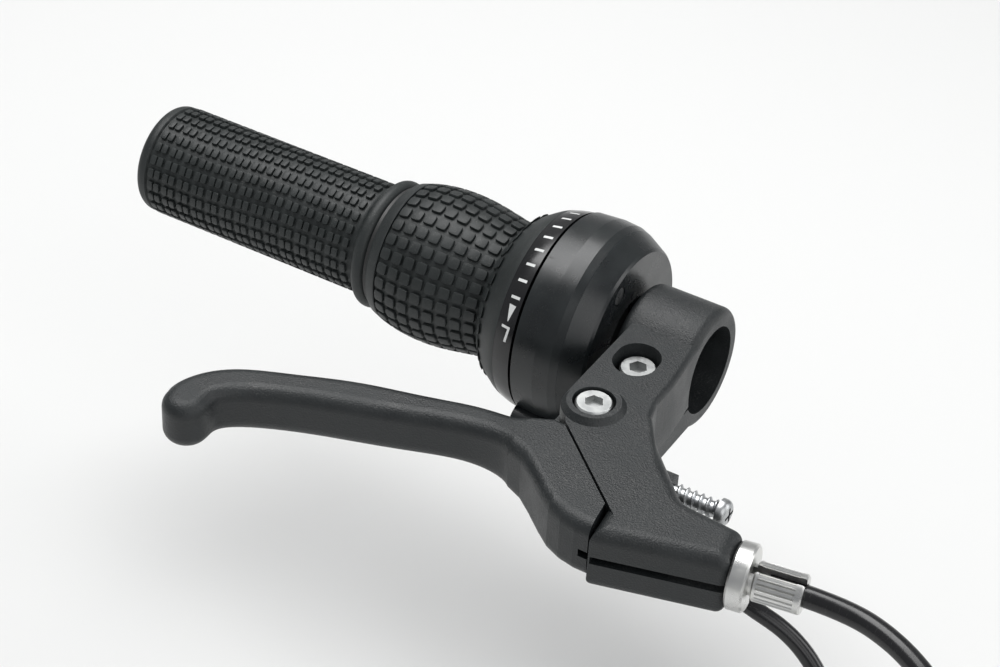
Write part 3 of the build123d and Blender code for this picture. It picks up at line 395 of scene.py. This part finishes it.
def moulded(name, dark, light, rough, grain, bump, dust, wear):
    """A moulded plastic or rubber with grain, polished edges and a little dust."""
    material, tree, skin = start_material(name)
    pores = use_group(tree, grain_group, Size=grain, Cloud=9.0)
    edges = use_group(tree, wear_group, Width=0.0005, Patchiness=0.6)
    dusty = use_group(tree, dust_group, Amount=dust)
    base = blend_colours(tree, pores["Tone"], opaque(dark), opaque(light))
    rubbed = calc(tree, "MULTIPLY", edges["Mask"], wear)
    paler = opaque(min(1.0, EDGE_PALER * c) for c in light)
    base = blend_colours(tree, rubbed, base, paler)
    base = blend_colours(tree, dusty["Mask"], base, opaque(DUST))
    fill(tree, skin.inputs["Base Color"], base)
    spread = ramp(tree, pores["Tone"], 0.0, 1.0, rough - 0.05, rough + 0.06)
    gloss = calc(tree, "MULTIPLY", rubbed, EDGE_GLOSS)
    fill(tree, skin.inputs["Roughness"], calc(tree, "SUBTRACT", spread, gloss))
    add_relief(tree, skin, pores["Height"], bump, depth=0.00008)
    return material


# %% The mouldings
grip_rubber = moulded("grip_rubber", (0.011, 0.014, 0.014), (0.019, 0.023, 0.023),
                      rough=0.52, grain=0.35, bump=0.25, dust=0.35, wear=0.25)
bracket_nylon = moulded("bracket_nylon", (0.009, 0.011, 0.012), (0.016, 0.019, 0.020),
                        rough=0.46, grain=0.42, bump=0.75, dust=0.35, wear=0.35)
lever_nylon = moulded("lever_nylon", (0.008, 0.010, 0.011), (0.014, 0.017, 0.018),
                      rough=0.44, grain=0.40, bump=0.65, dust=0.35, wear=0.40)
housing_plastic = moulded("housing_plastic", (0.008, 0.010, 0.011), (0.013, 0.016, 0.017),
                          rough=0.30, grain=0.25, bump=0.05, dust=0.12, wear=0.25)
core_nylon = moulded("core_nylon", (0.020, 0.020, 0.020), (0.030, 0.030, 0.030),
                     rough=0.45, grain=0.4, bump=0.15, dust=0.0, wear=0.2)
ring_plastic = moulded("ring_plastic", (0.006, 0.006, 0.007), (0.010, 0.010, 0.011),
                       rough=0.20, grain=0.25, bump=0.03, dust=0.15, wear=0.15)
bush_nylon = moulded("bush_nylon", (0.55, 0.54, 0.48), (0.68, 0.66, 0.60),
                     rough=0.45, grain=0.3, bump=0.10, dust=0.0, wear=0.0)
print("mouldings:", [m.name for m in bpy.data.materials])

# %% [markdown]
# ## The metals
#
# Zinc plating is a cool grey with a faint mottle and rubbed edges. The lock ring and the barrel
# are bright turned aluminium, where the tool has left fine rings round the axis. Anisotropic
# gloss could give their shine, but not the rings themselves. A noise in one dimension, read
# along the axis, is the same all round it: about nine fine bands to the millimetre.

# %% A turned metal
TOOL_MARKS = 9000.0                           # to the metre along the axis
WORN_METAL = (0.80, 0.80, 0.79)
WORN_SHARE = 0.35
SCUFF_ROUGHNESS = 0.08


def turned_metal(name, dark, light, rough, axis, mottle, rings):
    """A plated or turned metal. axis is the direction the tool marks are spaced along."""
    material, tree, skin = start_material(name)
    where = put(tree, "ShaderNodeTexCoord").outputs["Object"]
    pace = calc(tree, "MULTIPLY", distance_along(tree, where, axis), TOOL_MARKS)
    marks = put(tree, "ShaderNodeTexNoise", {"W": pace, "Scale": 1.0, "Detail": 3.0},
                noise_dimensions="1D")
    cloudy = put(tree, "ShaderNodeTexNoise", {"Vector": where, "Scale": mottle, "Detail": 5.0})
    edges = use_group(tree, wear_group, Width=0.0003, Patchiness=0.5)
    scuffs = use_group(tree, scratch_group, Scale=420.0)
    tone = ramp(tree, cloudy.outputs[0], low=0.35, high=0.65)
    base = blend_colours(tree, tone, opaque(dark), opaque(light))
    base = blend_colours(tree, calc(tree, "MULTIPLY", edges["Mask"], WORN_SHARE), base,
                         opaque(WORN_METAL))
    fill(tree, skin.inputs["Base Color"], base)
    skin.inputs["Metallic"].default_value = 1.0
    uneven = ramp(tree, tone, 0, 1, rough - 0.03, rough + 0.05)
    rubbed = calc(tree, "MULTIPLY", scuffs["Mask"], SCUFF_ROUGHNESS)
    fill(tree, skin.inputs["Roughness"], calc(tree, "ADD", uneven, rubbed))
    add_relief(tree, skin, calc(tree, "MULTIPLY", marks.outputs[0], rings), 0.2, depth=0.00004)
    return material


# %% Zinc, aluminium and spring steel
ADJUSTER_AXIS = (-math.cos(TILT), -math.sin(TILT), 0)
ALONG_X, ALONG_Y, ALONG_Z = (1, 0, 0), (0, 1, 0), (0, 0, 1)
zinc_upright = turned_metal("zinc_upright", (0.42, 0.43, 0.43), (0.54, 0.55, 0.54),
                            rough=0.38, axis=ALONG_Z, mottle=420.0, rings=0.2)
zinc_level = turned_metal("zinc_level", (0.40, 0.41, 0.42), (0.52, 0.53, 0.53),
                          rough=0.34, axis=ALONG_X, mottle=420.0, rings=0.3)
bright_aluminium = turned_metal("bright_aluminium", (0.62, 0.62, 0.61), (0.70, 0.70, 0.68),
                                rough=0.30, axis=ADJUSTER_AXIS, mottle=260.0, rings=1.0)
ferrule_aluminium = turned_metal("ferrule_aluminium", (0.60, 0.60, 0.60), (0.78, 0.78, 0.77),
                                 rough=0.30, axis=ALONG_Y, mottle=500.0, rings=0.8)
spring_steel = turned_metal("spring_steel", (0.30, 0.30, 0.31), (0.42, 0.42, 0.43),
                            rough=0.32, axis=ALONG_X, mottle=600.0, rings=0.4)
print("materials so far:", len(bpy.data.materials))

# %% [markdown]
# ## Inner wire
#
# The inner wire is a twisted strand. Modelling its wires one by one would take many faces for
# something a millimetre across. Its lay is drawn instead, as slanting bands: the angle round
# the wire plus the distance along it, through a sine.

# %% Strand material
STRANDS = 6
LAY_LENGTH = 0.006                            # metres along the wire, six bands to each
STRAND_DARK, STRAND_LIGHT = (0.22, 0.22, 0.22), (0.62, 0.62, 0.61)


def strand_wire(name, centre, axis):
    """Bright steel strand whose wires slant round its own axis."""
    material, tree, skin = start_material(name)
    where = put(tree, "ShaderNodeTexCoord").outputs["Object"]
    axis = Vector(axis).normalized()
    side = axis.cross(Vector(ALONG_Z)).normalized()
    above = side.cross(axis)
    along, across, height = (
        calc(tree, "SUBTRACT", distance_along(tree, where, direction),
             direction.dot(Vector(centre) * MM)) for direction in (axis, side, above))
    angle = calc(tree, "ARCTAN2", across, height)
    lay = calc(tree, "ADD", calc(tree, "MULTIPLY", angle, float(STRANDS)),
               calc(tree, "MULTIPLY", along, 2 * math.pi * STRANDS / LAY_LENGTH))
    bands = ramp(tree, calc(tree, "SINE", lay), -1, 1)
    fill(tree, skin.inputs["Base Color"],
         blend_colours(tree, bands, opaque(STRAND_DARK), opaque(STRAND_LIGHT)))
    skin.inputs["Metallic"].default_value = 1.0
    fill(tree, skin.inputs["Roughness"], ramp(tree, bands, 0, 1, to_low=0.45, to_high=0.28))
    add_relief(tree, skin, bands, 0.8, depth=0.00015)
    return material


brake_strand = strand_wire("brake_strand", SEAT_POINT, ADJUSTER_AXIS)
shift_strand = strand_wire("shift_strand", (0, NOSE_Y, NOSE_Z), ALONG_X)
print("strands:", brake_strand.name, shift_strand.name)

# %% [markdown]
# ## Outer cover
#
# The outer is a glossy black cover over a wound steel strip. The strip hardly shows: it makes
# the cover slightly uneven, which is seen only where a highlight runs along it. A noise in the
# bump gives that, and the scratch group adds the scuffs of use.

# %% Cover material
COVER_DARK, COVER_LIGHT = (0.006, 0.006, 0.007), (0.011, 0.011, 0.012)
SCUFFED, SCUFF_SHARE = (0.05, 0.05, 0.05), 0.12

cord_cover, tree, skin = start_material("outer_cover")
where = put(tree, "ShaderNodeTexCoord").outputs["Object"]
pores = use_group(tree, grain_group, Size=0.6, Cloud=14.0)
scuffs = use_group(tree, scratch_group, Stretch=(10, 3, 1), Scale=260.0)
base = blend_colours(tree, pores["Tone"], opaque(COVER_DARK), opaque(COVER_LIGHT))
base = blend_colours(tree, calc(tree, "MULTIPLY", scuffs["Mask"], SCUFF_SHARE), base,
                     opaque(SCUFFED))
fill(tree, skin.inputs["Base Color"], base)
fill(tree, skin.inputs["Roughness"],
     calc(tree, "ADD", ramp(tree, pores["Tone"], 0, 1, to_low=0.16, to_high=0.26),
          calc(tree, "MULTIPLY", scuffs["Mask"], SCUFF_ROUGHNESS)))
ripple = put(tree, "ShaderNodeTexNoise", {"Vector": where, "Scale": 320.0})
add_relief(tree, skin, ripple.outputs[0], 0.25, depth=0.0001)
print("material:", cord_cover.name)

# %% [markdown]
# ## Finishes
#
# The CAD nodes have the right shape, so they stay and only their material slots change. The
# table reads by finish, and the last line names any node that was forgotten.

# %% Give every CAD node its material
FINISHES = {
    grip_rubber: ["fixed_grip", "twist_rubber"],
    ring_plastic: ["indicator_ring"],
    core_nylon: ["grip_washer", "twist_sleeve", "shift_ferrule"],
    housing_plastic: ["shifter_housing", "housing_cap"],
    bracket_nylon: ["lever_bracket"],
    lever_nylon: ["lever_blade"],
    zinc_upright: ["clamp_bolt", "clamp_nut", "pivot_bolt", "pivot_nut", "grub_screw"],
    zinc_level: ["reach_screw", "cap_screws", "shift_nipple"],
    bright_aluminium: ["lock_ring", "barrel_adjuster", "cable_anchor"],
    ferrule_aluminium: ["brake_end_ferrule", "shift_end_ferrule"],
    spring_steel: ["detent_spring", "return_spring"],
    bush_nylon: ["pivot_bush", "cable_guide"],
    brake_strand: ["brake_wire"],
    shift_strand: ["shift_wire_run", "shift_wire_wrap"],
    cord_cover: ["brake_outer", "brake_coil", "shift_outer", "shift_coil"],
}


def paint(obj, material):
    obj.data.materials.clear()
    obj.data.materials.append(material)


for material, names in FINISHES.items():
    for name in names:
        paint(nodes[name], material)
for cord in (brake_cord, shift_cord):
    paint(cord, cord_cover)
bare = set(nodes) - {n for names in FINISHES.values() for n in names}
print("nodes without a finish:", sorted(bare))

# %% [markdown]
# ## Studs on the rubber
#
# Both grips are covered in small raised pads with soft edges. A texture would leave the outline
# smooth, so each pad is a real little mesh: a patch that follows the rubber, raised in three
# steps so that its edge is rounded. The rubber's own shape is read with rays from outside
# towards the bar's axis, so a pad always sits on the skin under it.

# %% Read the skin of a turned node
RAY_START = 0.06                              # metres above the axis, outside every node
SKIN_STEPS = 80


def skin_radius(node, x_low, x_high):
    """Radius of a turned node at evenly spaced x, as a function. All in millimetres."""
    mesh = nodes[node].data
    tree = BVHTree.FromPolygons([v.co for v in mesh.vertices],
                                [p.vertices for p in mesh.polygons])
    table = []
    for i in range(SKIN_STEPS + 1):
        x = x_low + (x_high - x_low) * i / SKIN_STEPS
        hit = tree.ray_cast(Vector((x * MM, 0, RAY_START)), Vector((0, 0, -1)))[0]
        table.append(hit.z / MM)

    def radius(x):
        place = max(0.0, min(SKIN_STEPS - 1e-6, (x - x_low) / (x_high - x_low) * SKIN_STEPS))
        i = int(place)
        return table[i] + (table[i + 1] - table[i]) * (place - i)
    return radius


twist_skin = skin_radius("twist_rubber", 40.0, 77.4)
grip_skin = skin_radius("fixed_grip", 83.0, 146.5)
print("rubber at its thickest:", round(max(twist_skin(x) for x in range(43, 74)), 2), "mm")

# %% Mesh helpers
SMOOTH_UNDER = 32                             # degrees between faces that shade as one


def bar_point(x, r, turn):
    """A point in metres: x mm along the bar, r mm from its axis, turned by radians."""
    return (x * MM, r * math.cos(turn) * MM, r * math.sin(turn) * MM)


def join_loops(bm, loops):
    """Faces between each closed loop of vertices and the next."""
    for low, high in zip(loops, loops[1:]):
        for i in range(len(low)):
            j = (i + 1) % len(low)
            bm.faces.new((low[i], low[j], high[j], high[i]))


def finish_mesh(bm, name, material, body, smooth=True):
    bmesh.ops.recalc_face_normals(bm, faces=bm.faces[:])
    mesh = bpy.data.meshes.new(name)
    bm.to_mesh(mesh)
    bm.free()
    obj = bpy.data.objects.new(name, mesh)
    bpy.context.scene.collection.objects.link(obj)
    if smooth:
        mesh.shade_smooth()
        mesh.set_sharp_from_angle(angle=math.radians(SMOOTH_UNDER))
    mesh.materials.append(material)
    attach(obj, body)
    return obj


# %% One pad
PAD_HIGH, PAD_SINK = 0.8, 0.25                # above the rubber, and into it
PAD_STEPS = [(1.0, -PAD_SINK), (0.97, 0.80 * PAD_HIGH), (0.92, 0.96 * PAD_HIGH),
             (0.84, PAD_HIGH)]                # share of the plan, and height
PAD_SIDE_POINTS = 4
PAD_CORNER = 0.11                             # rounding of the corners in plan

PAD_OUTLINE = []
for side in range(4):
    for i in range(PAD_SIDE_POINTS):
        t = -1 + 2 * i / PAD_SIDE_POINTS
        u, v = [(t, -1), (1, t), (-t, 1), (-1, -t)][side]
        pull = PAD_CORNER * (abs(u) * abs(v)) ** 3
        PAD_OUTLINE.append((u * (1 - pull), v * (1 - pull)))


def add_stud(bm, radius, x, angle, long, wide):
    """One pad centred at x and angle: long mm along the bar, wide degrees round it."""
    loops = []
    for share, rise in PAD_STEPS:
        loop = []
        for u, v in PAD_OUTLINE:
            px = x + u * share * long / 2
            turn = math.radians(angle + v * share * wide / 2)
            loop.append(bm.verts.new(bar_point(px, radius(px) + rise, turn)))
        loops.append(loop)
    join_loops(bm, loops)
    bm.faces.new(loops[-1])
    bm.faces.new(list(reversed(loops[0])))


print("points round a pad:", len(PAD_OUTLINE))

# %% [markdown]
# The twist grip has large pads in straight rows, and a plain raised band closes its outer end.

# %% Studs of the twist grip
TWIST_FIRST, TWIST_PITCH, TWIST_COLUMNS = 43.4, 3.6, 9
TWIST_START, TWIST_ROWS = 8.2, 30
BAND = [(73.95, -0.3), (74.05, 0.62), (74.25, 0.78), (76.5, 0.80), (76.9, 0.62), (77.15, -0.3)]
BAND_STEPS = 120

bm = bmesh.new()
for column in range(TWIST_COLUMNS):
    for row in range(TWIST_ROWS):
        add_stud(bm, twist_skin, TWIST_FIRST + TWIST_PITCH * column,
                 TWIST_START + row * 360 / TWIST_ROWS, long=2.9, wide=8.9)
loops = [[bm.verts.new(bar_point(x, twist_skin(x) + rise, 2 * math.pi * k / BAND_STEPS))
          for k in range(BAND_STEPS)] for x, rise in BAND]
join_loops(bm, loops + loops[:1])
twist_studs = finish_mesh(bm, "twist_studs", grip_rubber, "twist")
print("studs on the twist grip:", TWIST_COLUMNS * TWIST_ROWS)

# %% [markdown]
# The fixed grip has smaller pads in pairs of columns. Its sleeve was pushed on with a slight
# turn, so the rows drift by a few degrees on the way to its end.

# %% Studs of the fixed grip
GRIP_ROWS, GRIP_COLUMNS = 25, 27
GRIP_FIRST, GRIP_PITCH, PAIR_SHIFT = 85.865, 2.285, 0.14
GRIP_START = 53.8
DRIFT_FROM, DRIFT_OVER, DRIFT = 100, 36, -8.0  # mm, mm and degrees


def settled_twist(x):
    share = max(0.0, min(1.0, (x - DRIFT_FROM) / DRIFT_OVER))
    return DRIFT * share * share * (3 - 2 * share)


bm = bmesh.new()
for column in range(GRIP_COLUMNS):
    x = GRIP_FIRST + GRIP_PITCH * column + (PAIR_SHIFT if column % 2 else -PAIR_SHIFT)
    for row in range(GRIP_ROWS):
        angle = GRIP_START + settled_twist(x) + row * 360 / GRIP_ROWS
        add_stud(bm, grip_skin, x, angle, long=1.7, wide=9.8)
grip_studs = finish_mesh(bm, "grip_studs", grip_rubber, "root")
print("studs on the fixed grip:", GRIP_ROWS * GRIP_COLUMNS)

# %% [markdown]
# ## Scale on the ring
#
# The ring carries a row of white ticks, a wedge that ends it and a plain angle mark. They are
# printed. A texture would need an image or an unwrapped ring, so they are thin flat meshes that
# follow the ring, a few hundredths of a millimetre proud of it. The paint has a fine grain.

# %% White print
PRINT_LIFT = 0.03
PRINT_CELLS = 6
white_print = moulded("white_print", (0.62, 0.63, 0.62), (0.78, 0.79, 0.78), rough=0.5,
                      grain=0.12, bump=0.15, dust=0.0, wear=0.0)


def add_print(bm, corners, skin):
    """A printed patch. corners are four (x, angle) points in order."""
    grid = []
    for i in range(PRINT_CELLS + 1):
        row = []
        for j in range(PRINT_CELLS + 1):
            u, v = i / PRINT_CELLS, j / PRINT_CELLS
            x, angle = [(1 - u) * (1 - v) * a + u * (1 - v) * b + u * v * c + (1 - u) * v * d
                        for a, b, c, d in zip(*corners)]
            row.append(bm.verts.new(bar_point(x, skin(x) + PRINT_LIFT, math.radians(angle))))
        grid.append(row)
    for near, far in zip(grid, grid[1:]):
        for j in range(PRINT_CELLS):
            bm.faces.new((near[j], far[j], far[j + 1], near[j + 1]))


print("material:", white_print.name)

# %% Ticks, wedge and angle mark
TICK_X, TICK_LONG, TICK_WIDE = 33.2, 2.5, 1.6
TICK_FIRST, TICK_STEP, TICK_COUNT = 38.4, 9.75, 8
WEDGE = [(32.2, 34.0), (34.15, 34.3), (33.35, 24.9), (33.15, 24.9)]
ANGLE_FOOT = [(32.2, 20.6), (34.6, 20.8), (34.6, 22.3), (32.2, 22.1)]
ANGLE_STEM = [(32.55, 13.1), (33.25, 13.1), (32.8, 20.7), (32.2, 20.6)]

ring_skin = skin_radius("indicator_ring", 31.1, 35.9)
bm = bmesh.new()
low, high = TICK_X - TICK_LONG / 2, TICK_X + TICK_LONG / 2
for i in range(TICK_COUNT):
    a = TICK_FIRST + i * TICK_STEP
    add_print(bm, [(low, a - TICK_WIDE / 2), (high, a - TICK_WIDE / 2),
                   (high, a + TICK_WIDE / 2), (low, a + TICK_WIDE / 2)], ring_skin)
for mark in (WEDGE, ANGLE_FOOT, ANGLE_STEM):
    add_print(bm, mark, ring_skin)
scale_marks = finish_mesh(bm, "scale_marks", white_print, "twist")
print("ticks:", TICK_COUNT)

# %% [markdown]
# The housing has one small dark mark beside the ring, which the chosen tick stands against.

# %% Index mark
INDEX = [(28.7, 64.9), (29.8, 65.0), (29.8, 65.6), (28.7, 65.5)]

housing_skin = skin_radius("shifter_housing", 18.5, 30.0)
bm = bmesh.new()
add_print(bm, INDEX, housing_skin)
index_mark = finish_mesh(bm, "index_mark", core_nylon, "root")
print("index mark at x", INDEX[0][0], "mm")

# %% [markdown]
# ## Thread on the reach screw
#
# The screw is a coarse self-tapping one. A screw modifier would give an endless profile with
# hard ends. Here a V section is swept along a helix on the plain CAD shaft, and its height
# fades in and out over a quarter of a turn, as on a rolled thread.

# %% Thread
REACH_Y, LEVEL = 48.3, 4.25
SHAFT_R = 1.75
THREAD_START, THREAD_END, THREAD_PITCH = -35.9, -24.9, 1.8
THREAD_ROOT, THREAD_CREST = SHAFT_R - 0.1, SHAFT_R + 0.65
TURN_STEPS, FADES = 28, 4                     # sections to a turn, fades to a turn
FLANK, LAND = 0.36, 0.05                      # half widths at root and crest, in pitches

bm = bmesh.new()
steps = int((THREAD_END - THREAD_START) / THREAD_PITCH * TURN_STEPS)
loops = []
for i in range(steps + 1):
    x = THREAD_START + (THREAD_END - THREAD_START) * i / steps
    turn = 2 * math.pi * (x - THREAD_START) / THREAD_PITCH
    fade = min(1.0, FADES * i / TURN_STEPS, FADES * (steps - i) / TURN_STEPS)
    crest = THREAD_ROOT + (THREAD_CREST - THREAD_ROOT) * fade
    section = [(-FLANK, THREAD_ROOT), (-LAND, crest), (LAND, crest), (FLANK, THREAD_ROOT)]
    loops.append([bm.verts.new(((x + width * THREAD_PITCH) * MM,
                                (REACH_Y + r * math.cos(turn)) * MM,
                                (LEVEL + r * math.sin(turn)) * MM)) for width, r in section])
join_loops(bm, loops)
bm.faces.new(loops[0])
bm.faces.new(list(reversed(loops[-1])))
reach_thread = finish_mesh(bm, "reach_thread", zinc_level, "reach", smooth=False)
print("thread turns:", round((THREAD_END - THREAD_START) / THREAD_PITCH, 1))

# %% [markdown]
# ## Floor and backdrop
#
# A pale floor lies just under the hanging coils and sweeps up behind. A flat floor would end
# in a line across the view, and the curved sweep hides it.

# %% Floor
FLOOR_GAP = 0.001
FRONT, BACK, SWEEP_R, TOP, HALF_WIDTH = 1.6, -0.9, 0.5, 2.0, 2.5

stage_material, tree, surface = start_material("stage")
surface.inputs["Base Color"].default_value = (0.80, 0.80, 0.79, 1)
surface.inputs["Roughness"].default_value = 0.9
floor_z = cad_box[0][2] - FLOOR_GAP
sweep = [(FRONT, 0.0), (BACK, 0.0)]
sweep += [(BACK - SWEEP_R * math.sin(a), SWEEP_R - SWEEP_R * math.cos(a))
          for a in (math.radians(10 * k) for k in range(1, 10))]
sweep += [(BACK - SWEEP_R, TOP)]
bm = bmesh.new()
rows = [[bm.verts.new(AIM + level * along + right * across + Vector((0, 0, floor_z + rise)))
         for across in (-HALF_WIDTH, HALF_WIDTH)] for along, rise in sweep]
for a, b in zip(rows, rows[1:]):
    bm.faces.new((a[0], a[1], b[1], b[0]))
mesh = bpy.data.meshes.new("floor")
bm.to_mesh(mesh)
bm.free()
mesh.shade_smooth()
mesh.materials.append(stage_material)
floor = bpy.data.objects.new("floor", mesh)
bpy.context.scene.collection.objects.link(floor)
print("floor at z", round(floor_z, 4), "m")

# %% [markdown]
# ## Light
#
# Black plastic shows its shape by what it mirrors, so the lamps are big and soft: a key above
# and behind, a fill from the front and one from the side. The pale world lifts the shadows.
# Their strengths give a plain level, at which a colour looks about as it is written.

# %% Lamps and world
WORLD_COLOUR, WORLD_STRENGTH = (0.9, 0.92, 0.95, 1), 0.36


def softbox(name, place, size, watts):
    lamp = bpy.data.lights.new(name, "AREA")
    lamp.shape = "RECTANGLE"
    lamp.size, lamp.size_y = size
    lamp.energy = watts
    obj = bpy.data.objects.new(name, lamp)
    obj.location = place
    obj.rotation_euler = (AIM - obj.location).to_track_quat("-Z", "Y").to_euler()
    bpy.context.scene.collection.objects.link(obj)


softbox("key", AIM - level * 0.25 + right * -0.15 + Vector((0, 0, 0.75)), (0.7, 0.5), 6.5)
softbox("fill", AIM + level * 0.7 + right * 0.4 + Vector((0, 0, 0.5)), (0.8, 0.8), 2.6)
softbox("side", AIM + right * 0.9 + Vector((0, 0, 0.35)), (0.4, 0.8), 2.4)

world = bpy.data.worlds.new("studio")
world.use_nodes = True
world.node_tree.nodes["Background"].inputs["Color"].default_value = WORLD_COLOUR
world.node_tree.nodes["Background"].inputs["Strength"].default_value = WORLD_STRENGTH
bpy.context.scene.world = world
bpy.context.scene.view_settings.view_transform = "Standard"
print("lamps:", [lamp.name for lamp in bpy.data.lights])
